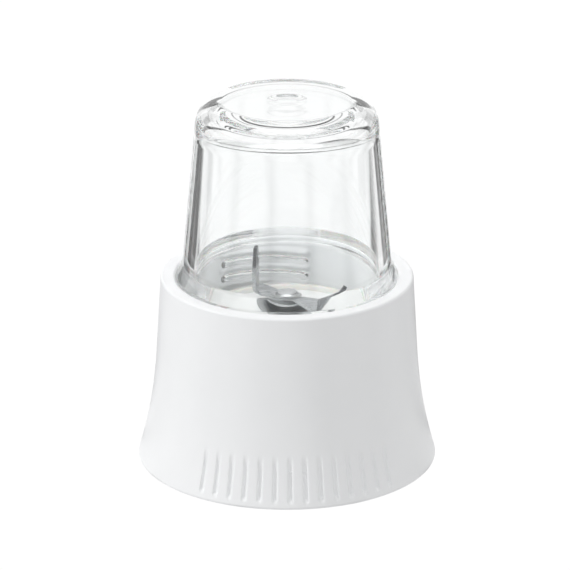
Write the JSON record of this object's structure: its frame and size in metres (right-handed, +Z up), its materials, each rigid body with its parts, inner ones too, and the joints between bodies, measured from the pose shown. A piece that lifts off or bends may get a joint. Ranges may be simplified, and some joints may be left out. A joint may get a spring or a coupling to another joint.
{
  "type": "food processor mill attachment",
  "caption": "Dry mill attachment for a food processor: a clear glass cup screwed mouth down into a flared plastic base with a spinning winged cutter.",
  "frame": {"origin": "centre of the foot ring, on the surface that the base stands on", "axes": "+Z up along the common axis of cup, cutter and base; -Y towards the front grip grooves"},
  "size_m": [0.1133, 0.1134, 0.1414],
  "materials": {
    "base_plastic": "white injection-moulded ABS, satin gloss",
    "carrier_plastic": "white moulded acetal",
    "silicone": "milky food-grade silicone",
    "nitrile": "black nitrile rubber",
    "cup_glass": "clear pressed soda-lime glass",
    "stainless": "turned stainless steel",
    "blade_steel": "stamped and ground stainless steel",
    "plated_steel": "zinc-plated steel",
    "screw_steel": "zinc-plated steel",
    "bronze": "sintered bronze",
    "felt": "oiled wool felt",
    "washer_nylon": "natural nylon",
    "coupling_plastic": "dark glass-filled nylon"
  },
  "bodies": {
    "base": {"base_shell": "base_plastic", "cutter_carrier": "carrier_plastic", "carrier_o_ring": "silicone", "carrier_screws": "screw_steel", "upper_bearing": "bronze", "oil_felt": "felt", "lower_bearing": "bronze", "bearing_retainer": "plated_steel", "retainer_screws": "screw_steel", "shaft_seal": "nitrile", "seal_cap": "stainless"},
    "gasket": {"cup_gasket": "silicone"},
    "cup": {"mill_cup": "cup_glass"},
    "cutter": {"cutter_shaft": "stainless", "thrust_washer": "washer_nylon", "spring_washer": "plated_steel", "retaining_ring": "plated_steel", "blade_spacer": "stainless", "cutter_blade": "blade_steel", "blade_washer": "stainless", "cutter_nut": "stainless", "drive_coupling": "coupling_plastic", "coupling_insert": "bronze", "coupling_washer": "plated_steel", "coupling_screw": "screw_steel"}
  },
  "joints": [
    {"name": "cutter_spin", "type": "hinge", "parent": "base", "child": "cutter", "pos_m": [0, 0, 0.06], "axis": [0, 0, 1], "continuous": true},
    {"name": "cup_turn", "type": "hinge", "parent": "base", "child": "gasket", "pos_m": [0, 0, 0.0525], "axis": [0, 0, 1], "range_deg": [0, 480]},
    {"name": "cup_lift", "type": "slide", "parent": "gasket", "child": "cup", "axis": [0, 0, 1], "range_m": [0, 0.024]}
  ],
  "couplings": [
    {"joint": "cup_lift", "follows": "cup_turn", "m_per_rad": 0.0028648}
  ]
}
